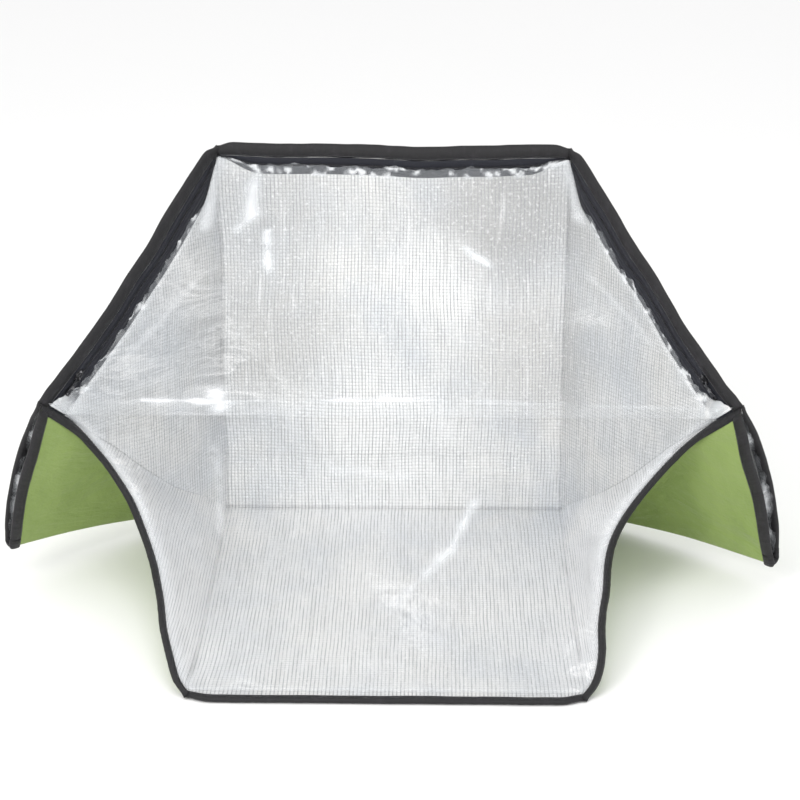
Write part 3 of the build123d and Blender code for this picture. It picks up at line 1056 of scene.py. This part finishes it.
stitchSize = dict(length=0.0027, radius=0.00026)
stitch = roundedBar(stitchSize["length"], stitchSize["radius"], (0, pi / 2, 0), 0,
                    stitchSize["radius"] * 0.45, stitchSize["radius"] * 0.6)


def stitchRow(name, body, at, rows, length, share=(0.02, 0.98)):
    spots = []
    count = int(length * (share[1] - share[0]) / bindings["stitch"])
    for q, t in rows:
        for i in range(count):
            s = between(share[0], share[1], (i + 0.5) / count)
            spots.append(spotOn(at, q, s, t))
    fit(copiesAlong(name, stitch, spots, thread), body, "charcoal_binding")


thick = sheet["thickness"]
inRow = bindings["stitchIn"]


def rowsFor(wide, puff):
    rise = puff * bindings["stitchOut"]
    return [(wide - inRow, -rise), (wide - inRow, thick + rise)]


def boundEdge(name, body, at, length, profile, rows, share=(0.02, 0.98)):
    bindingPiece(f"{name}_binding_tape", body, at, length, profile, f"{name}_binding")
    stitchRow(f"{name}_stitching", body, at, rows, length, share)


widths = bindings["widths"]
wide = widths["top"]
boundEdge("top", "back", onTop, 2 * width, bindingProfile(wide, thick, **fat),
          rowsFor(wide, fat["puff"]), (0.01, 0.99))
wide = widths["front"]
boundEdge("front", "floor", onFront, 2 * width, bindingProfile(wide, **frontShape),
          [(wide - inRow, bindings["frontStitch"])])
for side, hand in ((1, "right"), (-1, "left")):
    wide = widths["wing"]
    boundEdge(f"{hand}_wing", f"{hand}_wing", partial(onWing, side), wingEdgeLength,
              bindingProfile(wide, thick, **fat), rowsFor(wide, fat["puff"]))
    wide = widths["wall"]
    boundEdge(f"{hand}_wall", f"{hand}_wall", partial(onLip, side), lipLength,
              bindingProfile(wide, thick), rowsFor(wide, bindings["puff"]), (0.03, 0.86))
    wide = widths["ear"]
    earProfile = bindingProfile(wide, thick, **earShape)
    earRows = rowsFor(wide, earShape["puff"])[1:]
    for half, halfName in ((1, "rear"), (-1, "front")):
        boundEdge(f"{hand}_ear_{halfName}", f"{hand}_ear", partial(onEar, side, half), earEdgeLength,
                  earProfile, earRows, (0.08, 0.95))

    # Both ear bindings run on round the pleat's fold, and meet at its lowest point
    def turnAt(q, s, t, side=side):
        w = between(-earTurn["reach"], earTurn["reach"], s) * pleat["turn"]
        return earWrap(w, 1 - q / sheet["reach"], t, side)

    turned = stripMesh(f"{hand}_ear_binding_turn", turnAt, bindingProfile(wide, thick, **earTurn["shape"]),
                       earTurn["steps"], earTurn["length"], charcoal)
    fit(turned, f"{hand}_ear", "charcoal_binding")
print("bindings are sewn on")

# The zip: a fixed tape, the coil on it, and the window's tape on the far side
zipper = dict(
    tape=(0.0123, 0.0223), band=(0.0226, 0.0415), topBand=(0.0226, 0.0330), thick=0.0008, bandLow=0.0011,
    coilAt=0.0211, coilDrop=0.0020, coilRadius=0.0012, pitch=0.0022, coilEnd=0.006, step=0.006,
)


def tapeProfile(near, far, low, high):
    return [
        (near, high), (near, (low + high) / 2), (near + 0.0004, low), ((near + far) / 2, low - 0.0001),
        (far - 0.0004, low), (far, (low + high) / 2), (far, high), ((near + far) / 2, high),
    ]


# One turn of the coil: a short bar across it, flattened along the zip
radius = zipper["coilRadius"]
tooth = roundedBar(radius * 1.5, radius * 0.62, (pi / 2, 0, 0), 1, radius * 0.2, radius * 0.25)
for vert in tooth.data.vertices:
    vert.co.x *= 0.85
    vert.co.z *= 1.35


def zipPieces(prefix, body, at, length, names):
    tapeNode, coilNode, bandNode = names
    near, far = zipper["tape"]
    steps = round(length / zipper["step"])
    profile = tapeProfile(near, far, -zipper["thick"], -0.00002)
    tape = stripMesh(f"{prefix}zip_tape_woven", at, profile, steps, length, navy)
    fit(tape, body, "navy_zip", tapeNode)
    near, far = zipper["topBand" if body == "back" else "band"]
    profile = tapeProfile(near, far, -zipper["bandLow"], -0.0004)
    band = stripMesh(f"{prefix}window_tape_woven", at, profile, steps, length, navy)
    fit(band, "window", "navy_zip", bandNode)
    count = int((length - 2 * zipper["coilEnd"]) / zipper["pitch"])
    start = zipper["coilEnd"] / length
    spots = []
    for i in range(count):
        s = start + (i + 0.5) * zipper["pitch"] / length
        spots.append(spotOn(at, zipper["coilAt"], s, -zipper["coilDrop"]))
    fit(copiesAlong(f"{prefix}zip_coil_teeth", tooth, spots, coilDark), body, "zip_coil", coilNode)


zipPieces("top_", "back", onTop, 2 * width, ("top_zip_tape", "top_zip_coil", "top_window_band"))
for side, hand in ((1, "right"), (-1, "left")):
    names = (f"{hand}_zip_tape", f"{hand}_zip_coil", f"{hand}_window_band")
    zipPieces(f"{hand}_", f"{hand}_wing", partial(onWing, side), wingEdgeLength, names)
for template in (stitch, tooth):
    bpy.data.objects.remove(template)
print("the zip is laid")

# The upper film: stretched from zip to zip, with a crumpled margin over the window's tape
upperFilm = dict(
    columns=150, rows=150, thick=0.0004, under=0.0016, lap=0.001, last=0.992, cornerFrom=0.70,
    margin=0.008, topMargin=0.010, rim=0.03, sag=0.010, folds=0.0045, small=0.0012,
    crumple=(0.0004, 0.0022),
    tip=dict(reach=0.075, more=3.0, lift=0.0028), slider=dict(at=0.92, reach=0.07, less=0.8),
    hem=dict(at=0.058, reach=0.012, height=0.0012),
)
filmEdge = zipper["band"][1] - upperFilm["lap"]
filmTopEdge = zipper["topBand"][1] - upperFilm["lap"]
filmNormal = Vector((0, -0.608726, 0.793380))


@lru_cache(None)
def filmSide(side, y, reach=0.0, lift=0.0):
    return onWing(side, filmEdge - reach, between(upperFilm["last"], 0.0, y), -upperFilm["under"] - lift)


@lru_cache(None)
def filmTop(x, reach=0.0, lift=0.0):
    return onTop(filmTopEdge - reach, x, -upperFilm["under"] - lift)


def filmBase(x, y):
    point = between(filmSide(-1, y), filmSide(1, y), x)
    corner = between(filmSide(-1, 1.0), filmSide(1, 1.0), x)
    return point + (filmTop(x) - corner) * smooth(y, upperFilm["cornerFrom"], 1.0)


def upperPoint(u, v, depth):
    info = upperFilm
    rim = info["rim"]
    x = clamp((u - rim) / (1 - 2 * rim))
    y = clamp(v / (1 - rim))
    beside = max(rim - u, u - 1 + rim, 0.0) / rim
    above = max(v - 1 + rim, 0.0) / rim
    ragged = 1 + 0.6 * noise.noise(Vector((v * 26, u * 19, 2.2)))
    ragged += 0.4 * noise.noise(Vector((v * 60, u * 50, 1)))
    least, more = info["crumple"]
    crumple = least + more * abs(noise.noise(Vector((v * 58, u * 52, beside + above))))
    if beside > 0:
        tip = info["tip"]
        slider = info["slider"]
        atTip = exp(-((v / tip["reach"]) ** 2))
        atSlider = 1 - slider["less"] * exp(-(((y - slider["at"]) / slider["reach"]) ** 2))
        reach = info["margin"] * beside * (ragged + tip["more"] * atTip) * atSlider
        return filmSide(-1 if u < 0.5 else 1, y, reach, (crumple + tip["lift"] * atTip) * beside + depth)
    if above > 0:
        return filmTop(x, info["topMargin"] * above * ragged, crumple * above + depth)
    edge = smooth(x, 0.0, 0.10) * smooth(1 - x, 0.0, 0.10)
    quiet = edge * smooth(y, 0.0, 0.08) * smooth(1 - y, 0.0, 0.16)
    point = filmBase(x, y)
    fold = noise.noise(Vector((point.x * 9, v * 3.4, 1.3)))
    ridge = 1 - abs(noise.noise(Vector((point.x * 5 + v * 2.4, v * 4.5, 7.7)))) * 2
    small = noise.noise(Vector((point.x * 30, v * 13, 4.1)))
    push = (fold * 0.6 + ridge * 0.5) * info["folds"] + small * info["small"]
    push -= info["sag"] * 4 * x * (1 - x) * y * (1 - y)
    hem = info["hem"]
    raised = hem["height"] * exp(-((y - hem["at"]) / hem["reach"]) ** 2) * edge
    return point + filmNormal * (push * quiet + raised + depth)


def upperUv(u, v):
    return (between(-0.32, 0.32, u), v * 0.34)


# Painted white highlights along creases of the film, as places on it: start, end, half width, strength
upperCreaseHighlights = [
    ((0.05, 0.050), (0.13, 0.060), 0.0035, 0.25), ((0.13, 0.060), (0.25, 0.058), 0.0048, 1.0),
    ((0.25, 0.058), (0.40, 0.066), 0.0035, 0.35), ((0.40, 0.066), (0.53, 0.074), 0.0045, 0.95),
    ((0.53, 0.074), (0.74, 0.058), 0.0035, 0.40), ((0.74, 0.058), (0.95, 0.045), 0.0035, 0.30),
    ((0.236, 0.10), (0.250, 0.03), 0.014, 0.9), ((0.48, 0.055), (0.50, 0.095), 0.006, 0.6),
    ((0.135, 0.93), (0.150, 0.86), 0.020, 0.85), ((0.150, 0.86), (0.135, 0.80), 0.012, 0.6),
    ((0.205, 0.78), (0.240, 0.63), 0.010, 0.85), ((0.66, 0.72), (0.70, 0.655), 0.009, 0.8),
    ((0.03, 1.0), (0.06, 0.80), 0.016, 0.55), ((0.97, 1.0), (0.945, 0.84), 0.014, 0.6),
    ((0.10, 0.55), (0.06, 0.25), 0.008, 0.3), ((0.90, 0.62), (0.95, 0.30), 0.008, 0.3),
]
lowerCreaseHighlights = [
    ((0.60, 0.42), (0.66, 0.50), 0.010, 0.75), ((0.66, 0.50), (0.685, 0.62), 0.009, 0.7),
    ((0.52, 0.30), (0.60, 0.42), 0.007, 0.45), ((0.16, 0.55), (0.20, 0.80), 0.008, 0.35),
    ((0.40, 0.72), (0.55, 0.70), 0.006, 0.35),
]


def creaseHighlightMark(creases, u, v):
    here = Vector((u, v * 0.5))
    best = 0.0
    for start, end, half, strength in creases:
        first = Vector((start[0], start[1] * 0.5))
        run = Vector((end[0], end[1] * 0.5)) - first
        share = clamp((here - first).dot(run) / run.length_squared)
        wobble = 0.006 * noise.noise(Vector((u * 30, v * 30, strength * 9)))
        away = abs((here - first - run * share).length + wobble) / half
        best = max(best, strength * exp(-away * away))
    return best


# Painted highlight on the upper film: white glints in patches along its rim, a line along its seam, a white
# blob at each tip, and white lines along its creases
def upperMark(u, v):
    fromSide = min(u, 1 - u)
    rim = 1 - smooth(min(fromSide, 1 - v), 0.03, 0.04)
    rimGlintPatches = noise.noise(Vector((u * 34, v * 30, 0.4))) + 0.5 * noise.noise(Vector((u * 90, v * 80, 4.4)))
    rim *= 0.10 + 0.90 * smooth(rimGlintPatches, 0.16, 0.5)
    seam = exp(-((fromSide - 0.033) / 0.006) ** 2) * 0.4
    blob = exp(-((fromSide - 0.01) / 0.035) ** 2) * (1 - smooth(v, 0.02, 0.11))
    return clamp(max(rim, seam, blob, creaseHighlightMark(upperCreaseHighlights, u, v)))


upper = layerMesh("window_film_upper", upperPoint, upperUv, upperFilm["columns"], upperFilm["rows"],
                  0.0, upperFilm["thick"], film, upperMark)
fit(upper, "window", "clear_film", "window_upper")

# The lower film: down the swept lips to the front edge, slack between them
lowerFilm = dict(
    columns=90, rows=90, thick=0.0004, inset=0.0055, under=0.0019, last=0.985, step=0.02,
    sag=0.010, folds=0.003, small=0.001,
)


@lru_cache(None)
def filmLip(side, s):
    return onLip(side, lowerFilm["inset"], s, -lowerFilm["under"])


def lowerPoint(u, v, depth):
    info = lowerFilm
    s = between(0.0, info["last"], v)
    point = between(filmLip(-1, s), filmLip(1, s), u)
    run = filmLip(1, min(1.0, s + info["step"])) - filmLip(1, max(0.0, s - info["step"]))
    normal = Vector((0, -run.z, run.y))
    if normal.z < 0 or (abs(normal.z) < 1e-6 and normal.y > 0):
        normal = -normal
    normal.normalize()
    edge = smooth(u, 0.0, 0.12) * smooth(1 - u, 0.0, 0.12)
    quiet = edge * smooth(v, 0.0, 0.08) * smooth(1 - v, 0.0, 0.06)
    fold = noise.noise(Vector((point.x * 7 + 3, v * 4.2, 8.3)))
    ridge = 1 - abs(noise.noise(Vector((point.x * 6 - v * 3, v * 3.8, 2.9)))) * 2
    small = noise.noise(Vector((point.x * 26, v * 16, 6.6)))
    push = (fold * 0.6 + ridge * 0.5) * info["folds"] + small * info["small"]
    push -= info["sag"] * 4 * u * (1 - u) * (0.3 + 0.7 * sin(pi * v))
    return point + normal * (push * quiet + depth)


def lowerUv(u, v):
    return (between(-0.3, 0.3, u), -v * 0.46)


# Painted highlight on the lower film: white along its rims and its creases
def lowerMark(u, v):
    rim = (1 - smooth(min(u, 1 - u), 0.0, 0.035)) * (0.5 + 0.5 * smooth(v, 0.3, 0.7))
    rim = max(rim, (1 - smooth(v, 0.0, 0.02)) * 0.5)
    return clamp(max(rim * 0.75, creaseHighlightMark(lowerCreaseHighlights, u, v)))


lower = layerMesh("window_film_lower", lowerPoint, lowerUv, lowerFilm["columns"], lowerFilm["rows"],
                  0.0, lowerFilm["thick"], film, lowerMark)
fit(lower, "floor", "clear_film", "window_lower")

# The films and the window's tapes get meshes of their own
bandNames = ["top_window_tape_woven", "left_window_tape_woven", "right_window_tape_woven"]
for name in ["window_film_upper"] + bandNames:
    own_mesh(made[name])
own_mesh(lower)
print("the films are hung")

# Spare film is folded into each pleat, and shows crumpled between its two bindings
earFilm = dict(
    columns=90, rows=10, inside=0.020, outside=0.0022, ends=(0.05, 0.93), crumple=0.80, thick=0.0003,
    flatWidth=0.024,
)
for side, hand in ((1, "right"), (-1, "left")):
    def at(u, v, depth, side=side):
        edge = 0.5 + noise.noise(Vector((u * 24, 2.2, side)))
        q = between(earFilm["inside"], -earFilm["outside"] * (0.4 + edge), v)
        flat = earFlat(q, between(*earFilm["ends"], u))
        room = earSpread(flat, side) * earFilm["crumple"]
        zigzag = noise.noise(Vector((u * 9, v * 1.6, side * 4))) * 1.7
        zigzag += 0.2 * noise.noise(Vector((u * 40, v, side)))
        out = earOut * (clamp(zigzag, -1, 1) * room * v + depth)
        return soften(mirrored(rear + tipRay * flat.x + earRay * flat.y + out, side))

    def uvAt(u, v):
        return (u * earEdgeLength, v * 0.03)

    # Painted highlight: white streaks along the crumpled film between the two bindings
    def glint(u, v):
        across = v - 0.72 + 0.25 * noise.noise(Vector((u * 7, 3.1, 9.1)))
        runs = max(smooth(0.30 - u, 0.0, 0.12), smooth(u, 0.46, 0.56) * smooth(0.97 - u, 0.0, 0.10))
        patchy = 1.0 + 0.5 * noise.noise(Vector((u * 50, v * 4, 1)))
        return clamp(exp(-((across / 0.16) ** 2)) * runs * patchy)

    piece = layerMesh(f"{hand}_ear_film_fold", at, uvAt, earFilm["columns"], earFilm["rows"],
                      0.0, earFilm["thick"], film, glint)
    fit(piece, f"{hand}_ear", "clear_film")

# The sliders and pulls are the CAD's own, in a better metal
for hand in ("left", "right"):
    for node in (f"{hand}_slider", f"{hand}_slider_pull"):
        piece = bpy.data.objects.get(node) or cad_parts[node]
        piece.data.materials.clear()
        piece.data.materials.append(metal)

# The floor, the light and the camera
ground = dict(size=14.0, below=0.0008, tone=0.92)


def groundFinish():
    f = Finish("pale_floor", Specular_IOR_Level=0.2)
    spot = f.solid()
    cloud = f.noise(spot, 1.2, 3.0)
    tone = f.mix(cloud, grey(ground["tone"]), grey(ground["tone"] * 0.985))
    return f.paint(Base_Color=tone, Roughness=0.75 + cloud * 0.1)


bpy.ops.object.select_all(action="DESELECT")
bpy.ops.mesh.primitive_plane_add(size=ground["size"], location=(0, 0, -ground["below"]))
stageFloor = bpy.context.object
stageFloor.name = "studio_floor"
stageFloor.data.materials.append(groundFinish())

world = bpy.data.worlds.new("studio")
bpy.context.scene.world = world
world.use_nodes = True
background = world.node_tree.nodes["Background"]
background.inputs[0].default_value = (1.0, 1.0, 1.0, 1)
background.inputs[1].default_value = 1.0
lamps = dict(
    key=dict(spot=(-1.4, -1.8, 1.9), size=(1.0, 1.0), power=25.0, tone=(1.0, 0.985, 0.96)),
    fill=dict(spot=(1.9, -1.0, 1.3), size=(1.4, 1.4), power=4.0, tone=(0.95, 0.98, 1.0)),
    crown=dict(spot=(0.0, -0.75, 2.3), size=(1.1, 1.1), power=9.0, tone=(1.0, 1.0, 1.0)),
    strip=dict(spot=(0.13, -2.25, 0.45), size=(0.16, 0.8), power=3.0, tone=(1.0, 1.0, 1.0)),
)
lampAim = Vector((0, -0.2, 0.2))
for name, info in lamps.items():
    light = bpy.data.lights.new(f"{name}_light", "AREA")
    light.shape = "RECTANGLE"
    light.size = info["size"][0]
    light.size_y = info["size"][1]
    light.energy = info["power"]
    light.color = info["tone"]
    lamp = bpy.data.objects.new(f"{name}_light", light)
    lamp.location = info["spot"]
    lamp.rotation_euler = (lampAim - Vector(info["spot"])).to_track_quat("-Z", "Y").to_euler()
    bpy.context.scene.collection.objects.link(lamp)

view = dict(pitch=24.95, yaw=-0.83, distance=2.3316, aim=(0.0089, -0.20, 0.2577), lens=85.5)
pitch = radians(view["pitch"])
yaw = radians(view["yaw"])
turn = Matrix(((cos(yaw), sin(yaw), 0), (-sin(yaw), cos(yaw), 0), (0, 0, 1)))
look = Vector((0, cos(pitch), -sin(pitch)))
camera = bpy.data.objects.new("photo_camera", bpy.data.cameras.new("photo_camera"))
camera.data.lens = view["lens"]
camera.data.sensor_width = 36
camera.data.clip_end = 60
stand = turn @ (Vector(view["aim"]) - look * view["distance"])
camera.location = stand + Vector((0, 0, sheet["thickness"]))
camera.rotation_euler = (turn @ look).to_track_quat("-Z", "Y").to_euler()
bpy.context.scene.collection.objects.link(camera)
bpy.context.scene.camera = camera
bpy.context.scene.view_settings.view_transform = "Standard"
print("light and camera are set")

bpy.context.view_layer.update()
